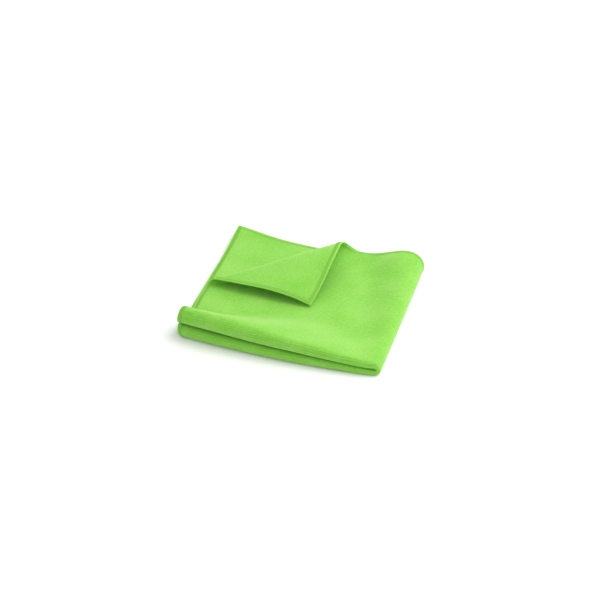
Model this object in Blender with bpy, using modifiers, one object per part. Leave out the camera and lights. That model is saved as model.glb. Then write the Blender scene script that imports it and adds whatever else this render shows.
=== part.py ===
"""A square microfibre cloth, folded in four and lying on a surface.

The cloth is one hemmed sheet. It is folded in half along its front edge and in half again along
its right-hand side, so that four plies lie on each other. The folds are soft: each pair of plies
ends in a puffy roll at the front, the two pairs part in a loop at the right, and all of them
narrow to a pinch at the front right corner. The back left corner of the top ply is turned back
over the others.

Metres, +Z up. The front edge runs along X, the right-hand side along Y, and the underside lies at
Z = 0. A point of the flat sheet is (across, along), measured from the sheet's centre, which is the
pinched corner: across is positive on the two lower plies and negative on the two upper ones, and
along is positive on the outer plies, the bottom and top ones, and negative on the inner two.
"""

import math

import bmesh
import bpy
import numpy as np

MM = 0.001

# The sheet.
HALF_SIDE = 160 * MM
THICKNESS = 1.3 * MM
PITCH = 1.9 * MM  # between the middles of two plies that lie on each other
PINCH = 2.4 * MM  # and round every fold at the pinched corner

# The rolls along the front edge, as diameters at the middle of the ply.
LOWER_ROLL = 8.3 * MM
UPPER_ROLL = 12.8 * MM
PINCH_START = 4 * MM  # how gently they start to fill out at the pinched corner
LOWER_TAPER = 160 * MM  # how far from it each roll is full
UPPER_TAPER = 120 * MM
LOWER_RISE = 0.5  # the powers by which they fill out on the way
UPPER_RISE = 0.68
FALL_AT_LEFT = 21 * MM  # how far behind a roll its plies meet again
FALL_INSIDE = 46 * MM
FALL_CHANGE = 80 * MM  # and how far from the left edge the one becomes the other

# The loop along the right-hand side, between the lower and the upper pair.
LOOP = 14.7 * MM  # its opening at the back
LOOP_FALL_FRONT = 12 * MM
LOOP_FALL_BACK = 40 * MM
PINCH_SPREAD = 10 * MM  # how far from the front edge the plies' ends even out
PINCH_SETBACK = 1.3 * MM  # how far the pinched corner is rounded off
PINCH_REACH = 14 * MM

# The corner of the top ply that is turned back: where its crease meets the sheet's edges, and
# the radius of the curl at each of those ends.
CREASE_LEFT = (160 * MM, 63.9 * MM)  # (across, along)
CREASE_BACK = (56.6 * MM, 160 * MM)
CURL_LEFT = 3.4 * MM
CURL_BACK = 7.4 * MM
CURL_SOFTNESS = 0.2  # 0 is a round curl, and 1 one that starts and ends gently
CURL_STEPS = 200
TIP_HEIGHT = 2.3 * MM  # of the turned corner's tip over the ply below it
FLAP_DROOP = 2.1  # 1 is a straight slope from curl to tip, and more one that droops at the tip
FLAP_BOW = 1.9 * MM  # how far its middle leans to the right
CREASE_LIFT = 3.9 * MM  # how far the curl draws the ply up
LIFT_REACH = 20 * MM
LIFT_RUN = 0.63  # the share of the crease over which the lift comes up, from its left end

# The back left corner under it curls up a little.
CORNER_LIFT = 4.5 * MM
CORNER_REACH = 70 * MM
LOWER_SHARE = 0.6  # of that lift, which the lower of the two inner plies has

# How far each corner of the folded cloth lies from a true square's, along X and along Y.
CORNER_SHIFTS = {
    "front_right": (0.5 * MM, 3.9 * MM),
    "front_left": (2.8 * MM, 7.1 * MM),
    "back_right": (-0.8 * MM, -12.9 * MM),
    "back_left": (-1.6 * MM, 3.6 * MM),
}
FRONT_BOW = 4.4 * MM  # how far the front edge swells forward at its middle

ROLL_STEP = 0.7 * MM  # how far the upper roll is set back from the lower one
STEP_REACH = 100 * MM  # how far from the pinched corner it has come about

# How far each ply has slid at the back left corner, along X and along Y.
PLY_SLIPS = {
    "bottom": (0.0 * MM, 1.5 * MM),
    "lower_inner": (-1.0 * MM, 0.5 * MM),
    "upper_inner": (-6.4 * MM, 4.5 * MM),
    "top": (5.5 * MM, -1.9 * MM),
}

# How far the top ply's left edge has slid back out, where its curl begins.
EDGE_SLIDE = 5.1 * MM
SLIDE_REACH = 60 * MM

# Soft swells of the upper plies: the middle of each (distance from the right, from the front),
# its reach and its height on the top ply.
SWELLS = (
    {"right": 50 * MM, "front": 120 * MM, "reach": 45 * MM, "height": 3.6 * MM},
    {"right": 30 * MM, "front": 60 * MM, "reach": 40 * MM, "height": 0.8 * MM},
    {"right": 28 * MM, "front": 150 * MM, "reach": 34 * MM, "height": 4.2 * MM},
)

# The lines along which the flat sheet is scored before it is folded: closest at the folds.
CLOSEST_SCORES = 0.5 * MM
SCORE_GROWTH = 1.3
WIDEST_SCORES = 14 * MM
CURL_SCORES = 12
SCORE_MERGE = 0.001 * MM  # points of two scores that are closer than this become one

CLOTH_GREEN = (0.36, 0.78, 0.14, 1.0)
CLOTH_ROUGHNESS = 0.95


def ease(share):
    """0 below 0, 1 above 1, and a smooth rise between."""
    share = np.clip(share, 0.0, 1.0)
    return share * share * (3.0 - 2.0 * share)


def swell_to(full, distance, taper, rise):
    """A roll's diameter: pinched at the front right corner, and full at taper from it."""
    from_pinch = np.hypot(distance, PINCH_START) - PINCH_START
    return PINCH + (full - PINCH) * np.clip(from_pinch / taper, 0.0, 1.0) ** rise


def ply_gap(roll, front, fall):
    """How far apart a roll's two plies are, at a distance from the front edge."""
    return PITCH + (roll - PITCH) * (1 - ease((front - roll / 2) / fall))


def curl_profile():
    """A curl of radius 1 that turns by half a turn: (arc length, distance out, height) tables."""
    share = np.linspace(0.0, 1.0, CURL_STEPS)
    angle = math.pi * ((1 - CURL_SOFTNESS) * share + CURL_SOFTNESS * ease(share))
    arc = share * math.pi
    middle = (angle[1:] + angle[:-1]) / 2
    step = arc[1]
    out = np.concatenate([[0.0], np.cumsum(np.cos(middle) * step)])
    height = np.concatenate([[0.0], np.cumsum(np.sin(middle) * step)])
    return arc, out, height


def turned_back(across, along):
    """Where the turned corner carries points of the top ply.

    Returns the (across, along) of the place they come to lie over, and their height there."""
    left, back = np.array(CREASE_LEFT), np.array(CREASE_BACK)
    crease = back - left
    length = np.linalg.norm(crease)
    outward = np.array([crease[1], -crease[0]]) / length
    from_left = np.stack([across - left[0], along - left[1]], axis=-1)
    beyond = from_left @ outward
    run = from_left @ crease / length**2
    radius = CURL_LEFT + (CURL_BACK - CURL_LEFT) * run
    lift = CREASE_LIFT * ease(run / LIFT_RUN)

    arc, out, height = curl_profile()
    turned = np.clip(beyond / radius, 0.0, arc[-1])
    past = np.maximum(beyond - arc[-1] * radius, 0.0)
    tip = (np.array([HALF_SIDE, HALF_SIDE]) - left) @ outward
    share = np.clip(past / (tip - arc[-1] * radius), 0.0, 1.0)
    lands = radius * np.interp(turned, arc, out) - past
    high = lift + radius * np.interp(turned, arc, height)
    high = high + (TIP_HEIGHT - high) * share**FLAP_DROOP
    moved = np.where(beyond > 0, lands - beyond, 0.0)
    return (
        across + outward[0] * moved - FLAP_BOW * 4 * share * (1 - share),
        along + outward[1] * moved,
        np.where(beyond > 0, high, lift * ease(1 + beyond / LIFT_REACH)),
    )


def stack_point(across, along, upper, outer):
    """The middle of the ply at each point: (distance from the right, from the front, height, flat).

    Flat is 0 on the loop's outermost line, and 1 where the plies have left the loop."""
    lower_roll = swell_to(LOWER_ROLL, across, LOWER_TAPER, LOWER_RISE)
    upper_roll = swell_to(UPPER_ROLL, across, UPPER_TAPER, UPPER_RISE)
    inside = ease((HALF_SIDE - across) / FALL_CHANGE)
    fall = FALL_AT_LEFT + (FALL_INSIDE - FALL_AT_LEFT) * inside

    # Round the roll at the front. A ply's depth is how far inside its pair's outer ply it is.
    roll_radius = np.where(upper, upper_roll, lower_roll) / 2
    turn = np.minimum(along / roll_radius, math.pi / 2)
    front = roll_radius * (1 - np.cos(turn)) + along - roll_radius * turn
    lower_gap, upper_gap = ply_gap(lower_roll, front, fall), ply_gap(upper_roll, front, fall)
    own_gap = np.where(upper, upper_gap, lower_gap)
    depth = roll_radius * (1 - np.sin(turn))
    depth = np.where(outer, depth, own_gap - depth)

    # Round the loop at the right, where both pairs are pinched.
    loop = PINCH + (LOOP - PINCH) * along / HALF_SIDE
    side_gap = ply_gap(PINCH, along, FALL_INSIDE)
    side_depth = PINCH / 2 * (1 - np.sin(np.minimum(along / (PINCH / 2), math.pi / 2)))
    even_depth = PINCH / 2 * (1 - np.sin(np.minimum(along / PINCH_SPREAD, math.pi / 2)))
    radius = loop / 2 + np.where(outer, side_gap - side_depth, side_depth)
    uneven = np.where(outer, side_depth - even_depth, even_depth - side_depth)
    outermost = loop / 2 + side_gap
    turn = np.minimum(across / radius, math.pi / 2)
    right = outermost - radius * np.cos(turn) + across - radius * turn
    right = right - math.pi / 2 * uneven * ease(across / HALF_SIDE)
    loop_fall = LOOP_FALL_FRONT + (LOOP_FALL_BACK - LOOP_FALL_FRONT) * along / HALF_SIDE
    opening = PITCH + (loop - PITCH) * (1 - ease((right - outermost) / loop_fall))
    from_middle = opening / 2 + own_gap - depth
    flat = np.sin(turn)
    height = lower_gap + opening / 2 + np.where(upper, 1, -1) * from_middle * flat
    return right, front, height + THICKNESS / 2, flat


def swells(right, front, layer):
    """The soft unevenness of the plies: none at the bottom, all of it on the top ply."""
    total = np.zeros_like(right)
    for swell in SWELLS:
        away = np.hypot(right - swell["right"], front - swell["front"])
        total += swell["height"] * (1 - ease(away / swell["reach"]))
    return total * layer


def fold(sheet_across, sheet_along):
    """The folded place, (x, y, z), of each point of the flat sheet."""
    upper, outer = sheet_across < 0, sheet_along >= 0
    top = upper & outer
    across, along = np.abs(sheet_across), np.abs(sheet_along)

    over_across, over_along, over_height = turned_back(across, along)
    across = np.where(top, over_across, across)
    along = np.where(top, over_along, along)
    right, front, height, flat = stack_point(across, along, upper, outer)
    height = height + np.where(top, over_height, 0.0)

    # The swells grow from ply to ply up the stack, and are half of full on the loop's line.
    layer = np.select([top, upper, outer], [3, 2, 0], 1) / 3
    layer = 0.5 + (layer - 0.5) * flat
    height = height + swells(right, front, layer)
    corner = ease((right + front - 2 * HALF_SIDE + CORNER_REACH) / CORNER_REACH)
    lift = np.select([top, upper, outer], [0.0, 1.0, 0.0], LOWER_SHARE)
    height = height + CORNER_LIFT * lift * corner**2

    set_back = ease(right / STEP_REACH) * (1 - ease(front / FALL_INSIDE)) * flat
    front = front + ROLL_STEP / 2 * np.where(upper, 1, -1) * set_back
    near_pinch = (1 - ease(right / PINCH_REACH)) * (1 - ease(front / PINCH_REACH))
    front = front + PINCH_SETBACK * near_pinch

    # From here on, distances are shares of the folded side.
    u, v = right / HALF_SIDE, front / HALF_SIDE
    x, y = -right, front - FRONT_BOW * 4 * u * (1 - u) * np.clip(1 - v, 0, 1) ** 2
    weights = {
        "front_right": (1 - u) * (1 - v),
        "front_left": u * (1 - v),
        "back_right": (1 - u) * v,
        "back_left": u * v,
    }
    for corner_name, (shift_x, shift_y) in CORNER_SHIFTS.items():
        x = x + weights[corner_name] * shift_x
        y = y + weights[corner_name] * shift_y
    plies = {
        "bottom": ~upper & outer,
        "lower_inner": ~upper & ~outer,
        "upper_inner": upper & ~outer,
        "top": top,
    }
    for ply, (slip_x, slip_y) in PLY_SLIPS.items():
        x = x + plies[ply] * weights["back_left"] * slip_x
        y = y + plies[ply] * weights["back_left"] * slip_y
    slid = ease(1 - (HALF_SIDE - right) / SLIDE_REACH) * ease(front / CREASE_LEFT[1])
    slid = slid * (1 - ease((front - CREASE_LEFT[1]) / SLIDE_REACH))
    x = x - np.where(top, EDGE_SLIDE * slid, 0.0)
    return np.stack([x, y, height], axis=-1)


def score(mesh, faces, point, normal):
    """Cuts the flat faces along one straight line."""
    edges = {edge for face in faces for edge in face.edges}
    points = {vertex for face in faces for vertex in face.verts}
    bmesh.ops.bisect_plane(
        mesh,
        geom=[*points, *edges, *faces],
        dist=SCORE_MERGE,
        plane_co=(*point, 0.0),
        plane_no=(*normal, 0.0),
    )


def score_distances():
    """How far from a fold its scores are, out to the sheet's edge."""
    distances, step = [CLOSEST_SCORES], CLOSEST_SCORES
    while distances[-1] < HALF_SIDE:
        step = min(step * SCORE_GROWTH, WIDEST_SCORES)
        distances.append(distances[-1] + step)
    return [distance * HALF_SIDE / distances[-1] for distance in distances[:-1]]


def scored_sheet():
    """The flat square, cut along every line that the folds and the curl need."""
    mesh = bmesh.new()
    bmesh.ops.create_grid(mesh, x_segments=2, y_segments=2, size=HALF_SIDE)
    for distance in score_distances():
        for place in (-distance, distance):
            score(mesh, mesh.faces[:], (place, 0.0), (1.0, 0.0))
            score(mesh, mesh.faces[:], (0.0, place), (0.0, 1.0))

    left, back = np.array(CREASE_LEFT), np.array(CREASE_BACK)
    outward = np.array([back[1] - left[1], left[0] - back[0]])
    outward /= np.linalg.norm(outward)
    for step in range(CURL_SCORES):
        turn = math.pi * step / (CURL_SCORES - 1)
        start, end = left + outward * turn * CURL_LEFT, back + outward * turn * CURL_BACK
        top = [
            face
            for face in mesh.faces
            if face.calc_center_median().x < 0 < face.calc_center_median().y
        ]
        # The top ply's across is negative, so the line is mirrored.
        normal = (start[1] - end[1], start[0] - end[0])
        score(mesh, top, (-start[0], start[1]), normal)
    bmesh.ops.triangulate(mesh, faces=mesh.faces)
    return mesh


def cloth_material():
    material = bpy.data.materials.new("microfibre")
    material.use_nodes = True
    shader = material.node_tree.nodes["Principled BSDF"]
    shader.inputs["Base Color"].default_value = CLOTH_GREEN
    shader.inputs["Roughness"].default_value = CLOTH_ROUGHNESS
    shader.inputs["Metallic"].default_value = 0.0
    material.diffuse_color = CLOTH_GREEN
    return material


def folded_cloth(collection):
    """The cloth: one closed solid of the folded sheet's thickness."""
    sheet = scored_sheet()
    places = np.array([vertex.co[:2] for vertex in sheet.verts])
    for vertex, place in zip(sheet.verts, fold(places[:, 0], places[:, 1]), strict=True):
        vertex.co = place
    data = bpy.data.meshes.new("cloth")
    sheet.to_mesh(data)
    sheet.free()
    data.materials.append(cloth_material())
    data.shade_smooth()
    cloth = bpy.data.objects.new("cloth", data)
    collection.objects.link(cloth)
    solid = cloth.modifiers.new("thickness", "SOLIDIFY")
    solid.thickness = THICKNESS
    solid.offset = 0.0
    solid.use_even_offset = True
    return cloth


def centre_on_origin(thing):
    """Moves a thing so that the middle of its footprint is over the origin."""
    bpy.context.view_layer.update()
    evaluated = thing.evaluated_get(bpy.context.evaluated_depsgraph_get())
    corners = np.array(evaluated.bound_box)
    middle = (corners.min(axis=0) + corners.max(axis=0)) / 2
    thing.location = (-middle[0], -middle[1], 0.0)


def main():
    for thing in list(bpy.data.objects):
        bpy.data.objects.remove(thing)
    collection = bpy.data.collections.new("microfibre_cloth")
    bpy.context.scene.collection.children.link(collection)
    centre_on_origin(folded_cloth(collection))


main()
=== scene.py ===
"""The looks of a square microfibre cloth, folded in four, with a corner of its top ply turned back.

The cloth is one sheet with ribs on both faces and a sewn edge. It is folded by the same formula
as the CAD solid that it replaces. Metres, +Z up. A point of the flat sheet is (across, along),
measured from the sheet's centre, which is the pinched corner at the front right: across is
positive on the two lower plies and negative on the two upper ones, and along is positive on the
bottom and top plies, and negative on the two inner ones.
"""

import math

import bpy
import numpy as np
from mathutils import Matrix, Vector


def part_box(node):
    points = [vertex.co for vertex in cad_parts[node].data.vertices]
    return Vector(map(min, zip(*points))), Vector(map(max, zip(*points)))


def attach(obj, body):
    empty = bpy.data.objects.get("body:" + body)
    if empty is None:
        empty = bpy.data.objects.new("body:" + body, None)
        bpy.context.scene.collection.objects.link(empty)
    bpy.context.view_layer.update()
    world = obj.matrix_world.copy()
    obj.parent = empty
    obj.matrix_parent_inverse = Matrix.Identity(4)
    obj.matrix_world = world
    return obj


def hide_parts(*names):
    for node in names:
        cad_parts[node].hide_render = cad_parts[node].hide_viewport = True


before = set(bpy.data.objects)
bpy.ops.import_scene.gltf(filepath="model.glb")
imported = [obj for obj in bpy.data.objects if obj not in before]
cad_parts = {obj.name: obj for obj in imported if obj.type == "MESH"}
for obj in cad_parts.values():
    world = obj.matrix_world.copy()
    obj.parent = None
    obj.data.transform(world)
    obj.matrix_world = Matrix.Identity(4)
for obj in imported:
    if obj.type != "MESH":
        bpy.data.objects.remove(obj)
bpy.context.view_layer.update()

MM = 0.001

# The sheet. These dimensions, down to the swells, are the CAD source's own.
HALF_SIDE = 160 * MM
THICKNESS = 1.3 * MM
PITCH = 1.9 * MM  # between the middles of two plies that lie on each other
PINCH = 2.4 * MM  # and round every fold at the pinched corner

# The rolls along the front edge, as diameters at the middle of the ply.
LOWER_ROLL = 8.3 * MM
UPPER_ROLL = 12.8 * MM
PINCH_START = 4 * MM  # how gently they start to fill out at the pinched corner
LOWER_TAPER = 160 * MM  # how far from it each roll is full
UPPER_TAPER = 120 * MM
LOWER_RISE = 0.5  # the powers by which they fill out on the way
UPPER_RISE = 0.68
FALL_AT_LEFT = 21 * MM  # how far behind a roll its plies meet again
FALL_INSIDE = 46 * MM
FALL_CHANGE = 80 * MM  # and how far from the left edge the one becomes the other

# The loop along the right-hand side, between the lower and the upper pair.
LOOP = 14.7 * MM  # its opening at the back
LOOP_FALL_FRONT = 12 * MM
LOOP_FALL_BACK = 40 * MM
PINCH_SPREAD = 10 * MM  # how far from the front edge the plies' ends even out
PINCH_SETBACK = 1.3 * MM  # how far the pinched corner is rounded off
PINCH_REACH = 14 * MM

# The corner of the top ply that is turned back: where its crease meets the sheet's edges, and
# the radius of the curl at each of those ends.
CREASE_LEFT = (160 * MM, 63.9 * MM)  # (across, along)
CREASE_BACK = (56.6 * MM, 160 * MM)
CURL_LEFT = 3.4 * MM
CURL_BACK = 7.4 * MM
CURL_SOFTNESS = 0.2  # 0 is a round curl, and 1 one that starts and ends gently
CURL_STEPS = 200
TIP_HEIGHT = 2.3 * MM  # of the turned corner's tip over the ply below it
FLAP_DROOP = 2.1  # 1 is a straight slope from curl to tip, and more one that droops at the tip
FLAP_BOW = 1.9 * MM  # how far its middle leans to the right
CREASE_LIFT = 3.9 * MM  # how far the curl draws the ply up
LIFT_REACH = 20 * MM
LIFT_RUN = 0.63  # the share of the crease over which the lift comes up, from its left end

# The back left corner under it curls up a little.
CORNER_LIFT = 4.5 * MM
CORNER_REACH = 70 * MM
LOWER_SHARE = 0.6  # of that lift, which the lower of the two inner plies has

# How far each corner of the folded cloth lies from a true square's, along X and along Y.
CORNER_SHIFTS = {
    "front_right": (0.5 * MM, 3.9 * MM),
    "front_left": (2.8 * MM, 7.1 * MM),
    "back_right": (-0.8 * MM, -12.9 * MM),
    "back_left": (-1.6 * MM, 3.6 * MM),
}
FRONT_BOW = 4.4 * MM  # how far the front edge swells forward at its middle

ROLL_STEP = 0.7 * MM  # how far the upper roll is set back from the lower one
STEP_REACH = 100 * MM  # how far from the pinched corner it has come about

# How far each ply has slid at the back left corner, along X and along Y.
PLY_SLIPS = {
    "bottom": (0.0 * MM, 1.5 * MM),
    "lower_inner": (-1.0 * MM, 0.5 * MM),
    "upper_inner": (-6.4 * MM, 4.5 * MM),
    "top": (5.5 * MM, -1.9 * MM),
}

# How far the top ply's left edge has slid back out, where its curl begins.
EDGE_SLIDE = 5.1 * MM
SLIDE_REACH = 60 * MM

# Soft swells of the upper plies: the middle of each (distance from the right, from the front),
# its reach and its height on the top ply.
SWELLS = (
    {"right": 50 * MM, "front": 120 * MM, "reach": 45 * MM, "height": 3.6 * MM},
    {"right": 30 * MM, "front": 60 * MM, "reach": 40 * MM, "height": 0.8 * MM},
    {"right": 28 * MM, "front": 150 * MM, "reach": 34 * MM, "height": 4.2 * MM},
)

# Small unevenness that only the visual model has: each wave's length, its height on the top ply,
# its turn in degrees and its phase in radians.
RIPPLES = (
    {"length": 61 * MM, "height": 0.22 * MM, "turn": 20, "phase": 20},
    {"length": 43 * MM, "height": 0.18 * MM, "turn": 100, "phase": 100},
    {"length": 29 * MM, "height": 0.12 * MM, "turn": 65, "phase": 65},
    {"length": 19 * MM, "height": 0.07 * MM, "turn": 145, "phase": 145},
)

# The knit: ribs along the across direction, on both faces.
RIB_PITCH = 1.7 * MM
RIB_DEPTH = 0.10  # as a share of the thickness

# The sewn edge: a hem that is pressed flat, with a groove along its seam and a rounded rim.
HEM_WIDTH = 3.6 * MM
HEM_BLEND = 0.8 * MM  # how far beyond the seam the ribs end
HEM_THICKNESS = 0.86  # as a share of the sheet's
HEM_GROOVE = 0.04  # the groove's depth, as such a share
GROOVE_WIDTH = 0.35 * MM
RIM_ROUND = 0.6 * MM  # how far from the rim the sheet starts to thin
RIM_THINNEST = 0.45  # its thickness at the rim, as a share of the hem's

# The threads. The looper thread swings between the seam and the rim, and the needle thread runs
# along the seam.
STITCH = 1.3 * MM
LOOPER_RADIUS = 0.22 * MM
LOOPER_POINTS = 10  # to a stitch
LOOPER_RISE = 0.7  # how far its middle lies over the sheet, as a share of its radius
LOOPER_SWING = 0.8  # the power of the cosine that its swing follows
LOOPER_WRAP = 4  # how sharply it turns from face to face at the rim
NEEDLE_RADIUS = 0.11 * MM
NEEDLE_POINTS = 4  # to a stitch
THREAD_SIDES = 6  # even, and at least 4
SLOPE_STEP = 0.2 * MM  # how far to each side of a thread's point the sheet's slope is taken

# The sheet's grid. Its lines along the ribs are evenly spaced. The ones across them are close at
# the folds' line and grow apart up to the widest spacing of their plies.
LINES_PER_RIB = 3
CLOSEST_LINES = 0.6 * MM
LINE_GROWTH = 1.3
WIDEST_LOWER = 8 * MM
WIDEST_UPPER = 4.2 * MM
WIDEST_CURL = 2.9 * MM  # where the curl is tightest
CURL_LINES_FROM = 104 * MM
HEM_LINES = (0.0 * MM, 0.45 * MM, 1.4 * MM, 2.9 * MM, 3.6 * MM, 4.3 * MM)  # in from each edge

# The colours, as linear red, green, blue and alpha.
LIME = (0.255, 0.605, 0.064, 1.0)
# The deep colour is painted shade between the loops and ribs, and also the deeper random tone where
# the fuzz and tufts are low.
LIME_DEEP_AND_SHADED = (0.115, 0.46, 0.012, 1.0)  # painted shade and deeper tone
LIME_PALE = (0.345, 0.65, 0.135, 1.0)  # where the pile lies open
HEM_LIME = (0.25, 0.59, 0.062, 1.0)
OVERLOCK_LIME = (0.19, 0.54, 0.034, 1.0)
NEEDLE_LIME = (0.25, 0.60, 0.055, 1.0)
FLOOR_GREYS = ((0.90, 0.90, 0.90, 1.0), (0.93, 0.93, 0.93, 1.0))

# The knit's pile.
LOOP_PITCH = 1.5 * MM  # between the loops along a rib
LOOP_VALLEY = 4 / 9  # how high a rib stays between two of its loops, as a share of their tops
WANDER = 0.55 * MM  # how far the ribs stray to their sides, and the loops twice that along them
WANDER_SPAN = 2.1 * MM
FUZZ = {"size": 0.32 * MM, "detail": 2.0, "low": 0.25, "high": 0.75}
TUFTS = {"size": 2.2 * MM, "detail": 2.0, "low": 0.3, "high": 0.7}
CLOUDS = {"size": 28 * MM, "detail": 3.0, "low": 0.35, "high": 0.75}
CLOUD_STRENGTH = 0.45
OPENNESS = {"loops": 0.42, "fuzz": 0.28, "tufts": 0.30}  # what each adds to how open it is
OPENNESS_RANGE = (0.05, 0.75)  # from the deep, shaded colour to the light one
HEM_COLOUR_BLEND = 0.2 * MM
PILE_ROUGHNESS = 0.85
FUZZ_GLOSS = 0.2  # how much less rough it is where the fuzz stands up
PILE_BUMP = {"Strength": 0.7, "Distance": 0.30 * MM}
PILE_SHADING = {
    "Subsurface Weight": 0.6,
    "Subsurface Radius": (0.5, 1.8, 0.15),  # for red, green and blue light, times the scale
    "Subsurface Scale": 1 * MM,
    "Sheen Weight": 0.35,
    "Sheen Roughness": 0.5,
    "Sheen Tint": (0.88, 1.0, 0.62, 1.0),
    "Specular IOR Level": 0.3,
}

# The sewing thread.
TWIST_SIZE = 0.35 * MM
TWIST_RANGE = (0.3, 0.7)  # of its noise, from the deep colour to the light one
TWIST_BUMP = {"Strength": 0.4, "Distance": 0.08 * MM}
THREAD_SHADING = {"Roughness": 0.6, "Sheen Weight": 0.15, "Sheen Roughness": 0.5}

# The floor.
FLOOR_SIZE = 12  # metres
FLOOR_GRAIN = 12 * MM
FLOOR_SHADING = {"Roughness": 0.9}

# The lights: where each softbox is, as degrees to the right of straight ahead, degrees up and
# metres away, and its power in watts.
SOFTBOXES = {
    "softbox_back": {"turn": 180, "rise": 30, "distance": 1.6, "power": 4},
    "softbox_back_right": {"turn": 125, "rise": 60, "distance": 1.6, "power": 10},
    "softbox_right": {"turn": 90, "rise": 45, "distance": 0.6, "power": 0.8},
}
SOFTBOX_SHARE = 0.6  # a softbox's diameter as a share of its distance
ROOM_LIGHT = 0.83  # the strength of the even light all round
WHITE = (1.0, 1.0, 1.0, 1.0)

# The camera, as the photograph was taken.
CAMERA_TURN = 17.8  # degrees to the right of straight ahead
CAMERA_RISE = 33.3
CAMERA_DISTANCE = 1.05  # metres
CAMERA_AIM = (-0.2 * MM, -6.3 * MM, 5.0 * MM)
CAMERA_LENS = 80.8  # in mm, as the sensor's width is
CAMERA_SENSOR = 36


def ease(share):
    """0 below 0, 1 above 1, and a smooth rise between."""
    share = np.clip(share, 0.0, 1.0)
    return share * share * (3.0 - 2.0 * share)


def swell_to(full, distance, taper, rise):
    """A roll's diameter: pinched at the front right corner, and full at taper from it."""
    from_pinch = np.hypot(distance, PINCH_START) - PINCH_START
    return PINCH + (full - PINCH) * np.clip(from_pinch / taper, 0.0, 1.0) ** rise


def ply_gap(roll, front, fall):
    """How far apart a roll's two plies are, at a distance from the front edge."""
    return PITCH + (roll - PITCH) * (1 - ease((front - roll / 2) / fall))


def curl_profile():
    """A curl of radius 1 that turns by half a turn: (arc length, distance out, height) tables."""
    share = np.linspace(0.0, 1.0, CURL_STEPS)
    angle = math.pi * ((1 - CURL_SOFTNESS) * share + CURL_SOFTNESS * ease(share))
    arc = share * math.pi
    middle = (angle[1:] + angle[:-1]) / 2
    step = arc[1]
    out = np.concatenate([[0.0], np.cumsum(np.cos(middle) * step)])
    height = np.concatenate([[0.0], np.cumsum(np.sin(middle) * step)])
    return arc, out, height


def turned_back(across, along):
    """Where the turned corner carries points of the top ply.

    Returns the (across, along) of the place they come to lie over, and their height there."""
    left, back = np.array(CREASE_LEFT), np.array(CREASE_BACK)
    crease = back - left
    length = np.linalg.norm(crease)
    over_crease = np.array([crease[1], -crease[0]]) / length
    from_left = np.stack([across - left[0], along - left[1]], axis=-1)
    beyond = from_left @ over_crease
    run = from_left @ crease / length**2
    radius = CURL_LEFT + (CURL_BACK - CURL_LEFT) * run
    lift = CREASE_LIFT * ease(run / LIFT_RUN)

    arc, out, height = curl_profile()
    turned = np.clip(beyond / radius, 0.0, arc[-1])
    past = np.maximum(beyond - arc[-1] * radius, 0.0)
    tip = (np.array([HALF_SIDE, HALF_SIDE]) - left) @ over_crease
    share = np.clip(past / (tip - arc[-1] * radius), 0.0, 1.0)
    lands = radius * np.interp(turned, arc, out) - past
    high = lift + radius * np.interp(turned, arc, height)
    high = high + (TIP_HEIGHT - high) * share**FLAP_DROOP
    moved = np.where(beyond > 0, lands - beyond, 0.0)
    return (
        across + over_crease[0] * moved - FLAP_BOW * 4 * share * (1 - share),
        along + over_crease[1] * moved,
        np.where(beyond > 0, high, lift * ease(1 + beyond / LIFT_REACH)),
    )


def stack_point(across, along, upper, outer):
    """The middle of the ply at each point: (distance from the right, from the front, height, flat).

    Flat is 0 on the loop's outermost line, and 1 where the plies have left the loop."""
    lower_roll = swell_to(LOWER_ROLL, across, LOWER_TAPER, LOWER_RISE)
    upper_roll = swell_to(UPPER_ROLL, across, UPPER_TAPER, UPPER_RISE)
    inside = ease((HALF_SIDE - across) / FALL_CHANGE)
    fall = FALL_AT_LEFT + (FALL_INSIDE - FALL_AT_LEFT) * inside

    # Round the roll at the front. A ply's depth is how far inside its pair's outer ply it is.
    roll_radius = np.where(upper, upper_roll, lower_roll) / 2
    turn = np.minimum(along / roll_radius, math.pi / 2)
    front = roll_radius * (1 - np.cos(turn)) + along - roll_radius * turn
    lower_gap, upper_gap = ply_gap(lower_roll, front, fall), ply_gap(upper_roll, front, fall)
    own_gap = np.where(upper, upper_gap, lower_gap)
    depth = roll_radius * (1 - np.sin(turn))
    depth = np.where(outer, depth, own_gap - depth)

    # Round the loop at the right, where both pairs are pinched.
    loop = PINCH + (LOOP - PINCH) * along / HALF_SIDE
    side_gap = ply_gap(PINCH, along, FALL_INSIDE)
    side_depth = PINCH / 2 * (1 - np.sin(np.minimum(along / (PINCH / 2), math.pi / 2)))
    even_depth = PINCH / 2 * (1 - np.sin(np.minimum(along / PINCH_SPREAD, math.pi / 2)))
    radius = loop / 2 + np.where(outer, side_gap - side_depth, side_depth)
    uneven = np.where(outer, side_depth - even_depth, even_depth - side_depth)
    outermost = loop / 2 + side_gap
    turn = np.minimum(across / radius, math.pi / 2)
    right = outermost - radius * np.cos(turn) + across - radius * turn
    right = right - math.pi / 2 * uneven * ease(across / HALF_SIDE)
    loop_fall = LOOP_FALL_FRONT + (LOOP_FALL_BACK - LOOP_FALL_FRONT) * along / HALF_SIDE
    opening = PITCH + (loop - PITCH) * (1 - ease((right - outermost) / loop_fall))
    from_middle = opening / 2 + own_gap - depth
    flat = np.sin(turn)
    height = lower_gap + opening / 2 + np.where(upper, 1, -1) * from_middle * flat
    return right, front, height + THICKNESS / 2, flat


def swells(right, front, layer):
    """The soft unevenness of the plies: none at the bottom, all of it on the top ply."""
    total = np.zeros_like(right)
    for swell in SWELLS:
        away = np.hypot(right - swell["right"], front - swell["front"])
        total += swell["height"] * (1 - ease(away / swell["reach"]))
    for ripple in RIPPLES:
        turn = math.radians(ripple["turn"])
        wave = right * math.cos(turn) + front * math.sin(turn)
        angle = 2 * math.pi * wave / ripple["length"] + ripple["phase"]
        total += ripple["height"] * (1 + np.sin(angle)) / 2
    return total * layer


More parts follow.
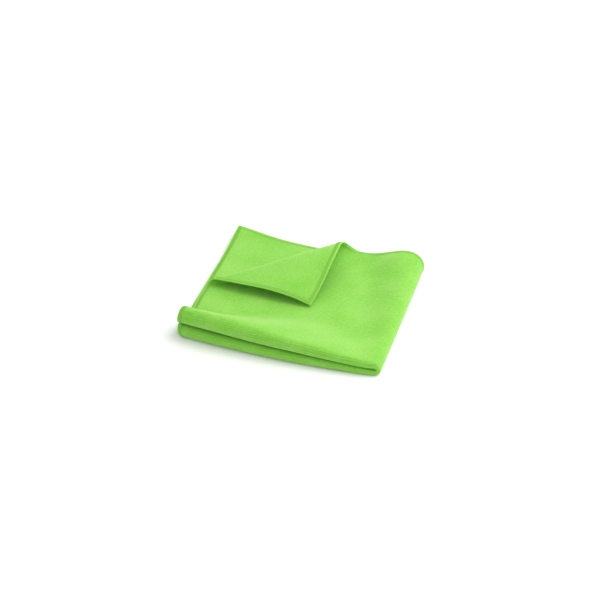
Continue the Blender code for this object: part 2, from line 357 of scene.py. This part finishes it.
def plan(right, front, upper, outer):
    """Where the plies lie as seen from above, (x, y), with the cloth's bow, corners and slips."""
    # Here distances are shares of the folded side.
    u, v = right / HALF_SIDE, front / HALF_SIDE
    x, y = -right, front - FRONT_BOW * 4 * u * (1 - u) * np.clip(1 - v, 0, 1) ** 2
    weights = {
        "front_right": (1 - u) * (1 - v),
        "front_left": u * (1 - v),
        "back_right": (1 - u) * v,
        "back_left": u * v,
    }
    for corner_name, (shift_x, shift_y) in CORNER_SHIFTS.items():
        x = x + weights[corner_name] * shift_x
        y = y + weights[corner_name] * shift_y
    plies = {
        "bottom": ~upper & outer,
        "lower_inner": ~upper & ~outer,
        "upper_inner": upper & ~outer,
        "top": upper & outer,
    }
    for ply, (slip_x, slip_y) in PLY_SLIPS.items():
        x = x + plies[ply] * weights["back_left"] * slip_x
        y = y + plies[ply] * weights["back_left"] * slip_y
    slid = ease(1 - (HALF_SIDE - right) / SLIDE_REACH) * ease(front / CREASE_LEFT[1])
    slid = slid * (1 - ease((front - CREASE_LEFT[1]) / SLIDE_REACH))
    return x - np.where(plies["top"], EDGE_SLIDE * slid, 0.0), y


def fold(sheet_across, sheet_along):
    """The folded place, (x, y, z), of each point, before the shift onto the CAD solid."""
    upper, outer = sheet_across < 0, sheet_along >= 0
    top = upper & outer
    across, along = np.abs(sheet_across), np.abs(sheet_along)

    over_across, over_along, over_height = turned_back(across, along)
    across = np.where(top, over_across, across)
    along = np.where(top, over_along, along)
    right, front, height, flat = stack_point(across, along, upper, outer)
    height = height + np.where(top, over_height, 0.0)

    # The swells grow from ply to ply up the stack, and are half of full on the loop's line.
    layer = np.select([top, upper, outer], [3, 2, 0], 1) / 3
    layer = 0.5 + (layer - 0.5) * flat
    height = height + swells(right, front, layer)
    corner = ease((right + front - 2 * HALF_SIDE + CORNER_REACH) / CORNER_REACH)
    lift = np.select([top, upper, outer], [0.0, 1.0, 0.0], LOWER_SHARE)
    height = height + CORNER_LIFT * lift * corner**2

    set_back = ease(right / STEP_REACH) * (1 - ease(front / FALL_INSIDE)) * flat
    front = front + ROLL_STEP / 2 * np.where(upper, 1, -1) * set_back
    near_pinch = (1 - ease(right / PINCH_REACH)) * (1 - ease(front / PINCH_REACH))
    front = front + PINCH_SETBACK * near_pinch
    x, y = plan(right, front, upper, outer)
    return np.stack([x, y, height], axis=-1)


def outward(across_step, along_step):
    """Unit normals of the folded sheet, on its outer face, from two steps along its surface."""
    normal = np.cross(across_step, along_step)
    return normal / np.linalg.norm(normal, axis=-1, keepdims=True)


def thickness_share(across, along):
    """The sheet's thickness at each point, as a share of THICKNESS: ribs, hem, groove and rim."""
    inset = HALF_SIDE - np.maximum(np.abs(across), np.abs(along))
    rib = 1 - RIB_DEPTH * (1 - np.cos(2 * math.pi * along / RIB_PITCH)) / 2
    hem = 1 - ease((inset - HEM_WIDTH + HEM_BLEND) / HEM_BLEND)
    share = rib * (1 - hem) + HEM_THICKNESS * hem
    share = share - HEM_GROOVE * np.exp(-(((inset - HEM_WIDTH) / GROOVE_WIDTH) ** 2))
    rim = np.sqrt(1 - np.clip(1 - inset / RIM_ROUND, 0.0, 1.0) ** 2)
    return share * (RIM_THINNEST + (1 - RIM_THINNEST) * rim)


def spaced_lines(widest_at):
    """Distances from a fold's line, closer near the fold, that stop short of the hem."""
    lines, step = [], CLOSEST_LINES
    place = step
    while place < HALF_SIDE - HEM_LINES[-1] - step / 2:
        lines.append(place)
        step = min(step * LINE_GROWTH, widest_at(place))
        place += step
    return lines


def grid_lines():
    """The grid's line places across and along the sheet."""
    hem = [HALF_SIDE - inset for inset in HEM_LINES]
    lower = spaced_lines(lambda place: WIDEST_LOWER) + hem
    upper = spaced_lines(
        lambda place: WIDEST_UPPER if place < CURL_LINES_FROM else WIDEST_CURL
    )
    across = sorted([-place for place in upper + hem] + [0.0] + lower)

    half_ribs = math.floor((HALF_SIDE - HEM_LINES[-1]) / RIB_PITCH * LINES_PER_RIB)
    along = [line * RIB_PITCH / LINES_PER_RIB for line in range(-half_ribs, half_ribs + 1)]
    along = sorted([-place for place in hem] + along + hem)
    return np.array(across), np.array(along)


def linked(name, data):
    """A new object in the scene."""
    thing = bpy.data.objects.new(name, data)
    bpy.context.scene.collection.objects.link(thing)
    return thing


def shell_faces(rows, columns):
    """The faces of two grids of points, the second one turned over, and of the rim between."""
    count = rows * columns
    index = np.arange(count).reshape(rows, columns)
    corners = [index[:-1, :-1], index[1:, :-1], index[1:, 1:], index[:-1, 1:]]
    outer = np.stack([corner.ravel() for corner in corners], axis=1)
    inner = outer[:, ::-1] + count
    border = np.concatenate([index[0], index[1:, -1], index[-1, -2::-1], index[-2:0:-1, 0]])
    following = np.roll(border, -1)
    rim = np.stack([border, following, following + count, border + count], axis=1)
    return np.concatenate([outer, inner, rim])


def solid_sheet(name, shift):
    """The folded sheet as one closed mesh, with its flat coordinates in the UV map "sheet"."""
    across, along = np.meshgrid(*grid_lines(), indexing="ij")
    places = fold(across, along) + shift
    normals = outward(np.gradient(places, axis=0), np.gradient(places, axis=1))
    half = (THICKNESS / 2 * thickness_share(across, along))[..., None]
    shells = [places + normals * half, places - normals * half]
    points = np.concatenate([shell.reshape(-1, 3) for shell in shells])
    mesh = bpy.data.meshes.new(name)
    mesh.from_pydata(points.tolist(), [], shell_faces(*across.shape).tolist())

    flat = np.stack([across.ravel(), along.ravel()], axis=1) / (2 * HALF_SIDE) + 0.5
    flat = np.concatenate([flat, flat])
    loops = np.empty(len(mesh.loops), dtype=np.int32)
    mesh.loops.foreach_get("vertex_index", loops)
    places_on_map = flat[loops].ravel().astype(np.float32)
    mesh.uv_layers.new(name="sheet").data.foreach_set("uv", places_on_map)
    mesh.shade_smooth()
    return linked(name, mesh)


def slopes(across, along):
    """How the folded place changes with across, and with along."""
    step = SLOPE_STEP
    by_across = fold(across + step, along) - fold(across - step, along)
    by_along = fold(across, along + step) - fold(across, along - step)
    return by_across / (2 * step), by_along / (2 * step)


def surface_at(across, along, height):
    """Folded places at a height over the middle of the sheet, also a little beyond its rim."""
    edge = HALF_SIDE - SLOPE_STEP
    inside_across, inside_along = np.clip(across, -edge, edge), np.clip(along, -edge, edge)
    by_across, by_along = slopes(inside_across, inside_along)
    place = fold(inside_across, inside_along)
    place = place + by_across * (across - inside_across)[..., None]
    place = place + by_along * (along - inside_along)[..., None]
    return place + outward(by_across, by_along) * height[..., None]


def tubes(name, paths, radius):
    """Threads of one radius along paths, as one mesh that reaches no lower than the floor."""
    curve = bpy.data.curves.new(name, "CURVE")
    curve.dimensions = "3D"
    curve.bevel_depth = radius
    curve.bevel_resolution = (THREAD_SIDES - 4) // 2
    curve.use_fill_caps = True
    for path in paths:
        path[:, 2] = np.maximum(path[:, 2], radius)
        spline = curve.splines.new("POLY")
        spline.points.add(len(path) - 1)
        spline.points.foreach_set("co", np.c_[path, np.ones(len(path))].ravel())
    holder = linked(name + "_path", curve)
    bpy.context.view_layer.update()
    evaluated = holder.evaluated_get(bpy.context.evaluated_depsgraph_get())
    mesh = bpy.data.meshes.new_from_object(evaluated)
    mesh.name = name
    bpy.data.objects.remove(holder)
    mesh.shade_smooth()
    return linked(name, mesh)


def four_edges(run, inset):
    """The (across, along) of points on each of the sheet's edges, by how far along and in."""
    out = HALF_SIDE - inset
    return ((out, run), (-out, run), (run, out), (run, -out))


def overlock_thread(shift):
    """The looper thread: a zigzag on each face that wraps round the rim at every turn."""
    stitches = int((2 * HALF_SIDE - 2 * STITCH) / STITCH)
    phase = np.arange(stitches * LOOPER_POINTS + 1) / LOOPER_POINTS
    run = STITCH - HALF_SIDE + phase * STITCH
    swing = np.cos(2 * math.pi * phase)
    inset = -LOOPER_RADIUS + (HEM_WIDTH + LOOPER_RADIUS) * np.abs(swing) ** LOOPER_SWING
    paths = []
    for across, along in four_edges(run, inset):
        share = thickness_share(
            np.clip(across, -HALF_SIDE, HALF_SIDE), np.clip(along, -HALF_SIDE, HALF_SIDE)
        )
        height = THICKNESS / 2 * share + LOOPER_RADIUS * LOOPER_RISE
        height = height * np.tanh(LOOPER_WRAP * swing)
        paths.append(surface_at(across, along, height) + shift)
    return tubes("overlock_thread", paths, LOOPER_RADIUS)


def needle_thread(shift):
    """The straight seams that hold the looper thread down, one on each face along each edge."""
    steps = int((2 * HALF_SIDE - 2 * HEM_WIDTH) / (STITCH / NEEDLE_POINTS))
    run = HEM_WIDTH - HALF_SIDE + np.arange(steps + 1) * STITCH / NEEDLE_POINTS
    inset = np.full_like(run, HEM_WIDTH)
    paths = []
    for across, along in four_edges(run, inset):
        share = thickness_share(across, along)
        bob = NEEDLE_RADIUS * np.abs(np.sin(math.pi * run / STITCH))
        height = THICKNESS / 2 * share + bob
        for face in (1, -1):
            paths.append(surface_at(across, along, face * height) + shift)
    return tubes("needle_thread", paths, NEEDLE_RADIUS)


class Nodes:
    """A material's node tree, with short calls for what is used here."""

    def __init__(self, name):
        self.material = bpy.data.materials.new(name)
        self.material.use_nodes = True
        self.tree = self.material.node_tree
        self.shader = self.tree.nodes["Principled BSDF"]

    def new(self, kind, **values):
        node = self.tree.nodes.new(kind)
        for key, value in values.items():
            setattr(node, key, value)
        return node

    def feed(self, socket, value):
        """Sets a socket to a number or a colour, or links an output to it."""
        if isinstance(value, bpy.types.NodeSocket):
            self.tree.links.new(value, socket)
        else:
            socket.default_value = value

    def math(self, operation, first, second=0.0):
        node = self.new("ShaderNodeMath", operation=operation)
        self.feed(node.inputs[0], first)
        self.feed(node.inputs[1], second)
        return node.outputs[0]

    def mix(self, factor, first, second):
        node = self.new("ShaderNodeMix", data_type="RGBA")
        self.feed(node.inputs["Factor"], factor)
        self.feed(node.inputs[6], first)
        self.feed(node.inputs[7], second)
        return node.outputs[2]

    def noise(self, vector, size, detail, output="Fac"):
        """Smooth noise with features of about a size, in metres."""
        node = self.new("ShaderNodeTexNoise")
        self.feed(node.inputs["Vector"], vector)
        node.inputs["Scale"].default_value = 1 / size
        node.inputs["Detail"].default_value = detail
        return node.outputs[output]

    def apart(self, kind, value):
        """The outputs of a node that takes a vector or a colour apart."""
        node = self.new(kind)
        self.feed(node.inputs[0], value)
        return node.outputs

    def ramp(self, value, low, high):
        """0 at low, 1 at high, and straight between."""
        node = self.new("ShaderNodeMapRange")
        self.feed(node.inputs["Value"], value)
        node.inputs["From Min"].default_value = low
        node.inputs["From Max"].default_value = high
        return node.outputs["Result"]

    def spots(self, vector, size, detail, low, high):
        """Soft light and dark spots: 0 where the noise is low, and 1 where it is high."""
        return self.ramp(self.noise(vector, size, detail), low, high)

    def waves(self, value):
        """1 at each whole number, 0 halfway between two, and a wave between."""
        cosine = self.math("COSINE", self.math("MULTIPLY", value, 2 * math.pi))
        return self.ramp(cosine, -1.0, 1.0)

    def raise_by(self, height, settings):
        """Bump from a height, with the Bump node's own settings."""
        bump = self.new("ShaderNodeBump")
        for name, value in settings.items():
            bump.inputs[name].default_value = value
        self.feed(bump.inputs["Height"], height)
        self.feed(self.shader.inputs["Normal"], bump.outputs["Normal"])

    def shade(self, colour, settings):
        """The colour, and plain values for the shader's other sockets."""
        self.feed(self.shader.inputs["Base Color"], colour)
        for name, value in settings.items():
            self.shader.inputs[name].default_value = value


def sheet_place(nodes):
    """The point of the flat sheet, (across, along) in metres from its centre."""
    side = 2 * HALF_SIDE
    map_place = nodes.new("ShaderNodeUVMap", uv_map="sheet").outputs["UV"]
    stretched = nodes.new("ShaderNodeMapping")
    nodes.feed(stretched.inputs["Vector"], map_place)
    stretched.inputs["Scale"].default_value = (side, side, 1)
    from_centre = nodes.new("ShaderNodeVectorMath", operation="SUBTRACT")
    nodes.feed(from_centre.inputs[0], stretched.outputs["Vector"])
    from_centre.inputs[1].default_value = (HALF_SIDE, HALF_SIDE, 0)
    return from_centre.outputs[0]


def knit_loops(nodes, place):
    """How high the loops stand, from 0 between two ribs to 1 on a loop's top.

    The loops of every other rib are half a loop on."""
    axes = nodes.apart("ShaderNodeSeparateXYZ", place)
    strays = nodes.noise(place, WANDER_SPAN, 1.0, output="Color")
    strays = nodes.apart("ShaderNodeSeparateColor", strays)

    def strayed(axis, channel, amount):
        share = nodes.math("SUBTRACT", strays[channel], 0.5)
        return nodes.math("ADD", axes[axis], nodes.math("MULTIPLY", share, amount))

    row = nodes.math("MULTIPLY", strayed("Y", "Red", WANDER), 1 / RIB_PITCH)
    column = nodes.math("MULTIPLY", strayed("X", "Green", 2 * WANDER), 1 / LOOP_PITCH)
    half_on = nodes.math("MULTIPLY", nodes.math("ROUND", row), 0.5)
    along_rib = nodes.waves(nodes.math("ADD", column, half_on))
    lowest = LOOP_VALLEY / (LOOP_VALLEY - 1)
    return nodes.math("MULTIPLY", nodes.waves(row), nodes.ramp(along_rib, lowest, 1.0))


def hem_share(nodes, place):
    """1 on the hem, where the threads lie close and the ribs are pressed flat, and 0 elsewhere."""
    axes = nodes.apart("ShaderNodeSeparateXYZ", place)
    reach = nodes.math(
        "MAXIMUM", nodes.math("ABSOLUTE", axes["X"]), nodes.math("ABSOLUTE", axes["Y"])
    )
    seam = HALF_SIDE - HEM_WIDTH
    return nodes.ramp(reach, seam - HEM_COLOUR_BLEND, seam + HEM_COLOUR_BLEND)


def knit_material():
    """Ribbed terry knit: rows of small loops along the ribs, with painted shade between them."""
    nodes = Nodes("microfibre_knit")
    place = sheet_place(nodes)
    fuzz = nodes.spots(place, **FUZZ)
    tufts = nodes.spots(place, **TUFTS)
    clouds = nodes.spots(place, **CLOUDS)

    # How open the surface is at a point, from the bottom between two ribs to a loop's top.
    openness = nodes.math("MULTIPLY", knit_loops(nodes, place), OPENNESS["loops"])
    openness = nodes.math("ADD", openness, nodes.math("MULTIPLY", fuzz, OPENNESS["fuzz"]))
    openness = nodes.math("ADD", openness, nodes.math("MULTIPLY", tufts, OPENNESS["tufts"]))
    # Painted shade: the colour deepens between the loops and ribs, where the surface is least open;
    # the fuzz and tufts deepen it at random.
    colour = nodes.mix(nodes.ramp(openness, *OPENNESS_RANGE), LIME_DEEP_AND_SHADED, LIME)
    colour = nodes.mix(nodes.math("MULTIPLY", clouds, CLOUD_STRENGTH), colour, LIME_PALE)
    colour = nodes.mix(hem_share(nodes, place), colour, HEM_LIME)

    nodes.shader.subsurface_method = "RANDOM_WALK"
    nodes.shade(colour, PILE_SHADING)
    nodes.raise_by(openness, PILE_BUMP)
    gloss = nodes.math("MULTIPLY", fuzz, FUZZ_GLOSS)
    nodes.feed(nodes.shader.inputs["Roughness"], nodes.math("SUBTRACT", PILE_ROUGHNESS, gloss))
    return nodes.material


def object_place(nodes):
    """The point in metres from the object's own origin."""
    return nodes.new("ShaderNodeTexCoord").outputs["Object"]


def thread_material(name, deep):
    """Polyester sewing thread: twisted plies with a soft lustre, deep in colour between them."""
    nodes = Nodes(name)
    twist = nodes.noise(object_place(nodes), TWIST_SIZE, 2.0)
    nodes.shade(nodes.mix(nodes.ramp(twist, *TWIST_RANGE), deep, LIME), THREAD_SHADING)
    nodes.raise_by(twist, TWIST_BUMP)
    return nodes.material


def floor_material():
    """A matt pale surface, barely uneven in tone."""
    nodes = Nodes("pale_floor")
    grain = nodes.noise(object_place(nodes), FLOOR_GRAIN, 3.0)
    nodes.shade(nodes.mix(grain, *FLOOR_GREYS), FLOOR_SHADING)
    return nodes.material


def floor():
    """The surface that the cloth lies on."""
    bpy.ops.mesh.primitive_plane_add(size=FLOOR_SIZE, location=(0, 0, 0))
    thing = bpy.context.object
    thing.name = "floor"
    thing.data.materials.append(floor_material())


def place_facing(thing, turn, rise, distance, aim):
    """Puts a lamp or camera at a distance from a point, facing it."""
    turn, rise = math.radians(turn), math.radians(rise)
    away = Vector(
        (math.sin(turn) * math.cos(rise), -math.cos(turn) * math.cos(rise), math.sin(rise))
    )
    thing.location = Vector(aim) + away * distance
    thing.rotation_euler = away.to_track_quat("Z", "Y").to_euler()


def softbox(name, turn, rise, distance, power):
    """A round softbox that faces the cloth."""
    data = bpy.data.lights.new(name, "AREA")
    data.shape = "DISK"
    data.size = SOFTBOX_SHARE * distance
    data.energy = power
    place_facing(linked(name, data), turn, rise, distance, (0, 0, 0))


def light():
    """The softboxes, and an even white room round them."""
    for name, values in SOFTBOXES.items():
        softbox(name, **values)
    world = bpy.context.scene.world or bpy.data.worlds.new("studio")
    bpy.context.scene.world = world
    world.use_nodes = True
    background = world.node_tree.nodes["Background"]
    background.inputs["Color"].default_value = WHITE
    background.inputs["Strength"].default_value = ROOM_LIGHT
    bpy.context.scene.view_settings.view_transform = "Standard"


def camera():
    """The camera, at the photograph's angle."""
    data = bpy.data.cameras.new("camera")
    data.lens = CAMERA_LENS
    data.sensor_width = CAMERA_SENSOR
    thing = linked("camera", data)
    place_facing(thing, CAMERA_TURN, CAMERA_RISE, CAMERA_DISTANCE, CAMERA_AIM)
    bpy.context.scene.camera = thing


def shift_onto_solid():
    """How far the folded sheet has to move along the floor to lie where the CAD solid is."""
    low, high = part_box("cloth")
    across, along = np.meshgrid(*grid_lines(), indexing="ij")
    places = fold(across.ravel(), along.ravel())
    shift = (np.array(low) + np.array(high)) / 2
    shift = shift - (places.min(axis=0) + places.max(axis=0)) / 2
    shift[2] = 0.0
    return shift


def cloth():
    """The sheet and its threads, in place of the CAD solid."""
    shift = shift_onto_solid()
    sheet = solid_sheet("cloth_sheet", shift)
    overlock, needle = overlock_thread(shift), needle_thread(shift)
    threads = [overlock, needle]
    sheet.data.materials.append(knit_material())
    overlock.data.materials.append(thread_material("overlock_yarn", OVERLOCK_LIME))
    needle.data.materials.append(thread_material("needle_yarn", NEEDLE_LIME))
    for piece in [sheet] + threads:
        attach(piece, "root")
    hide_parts("cloth")


cloth()
floor()
light()
camera()
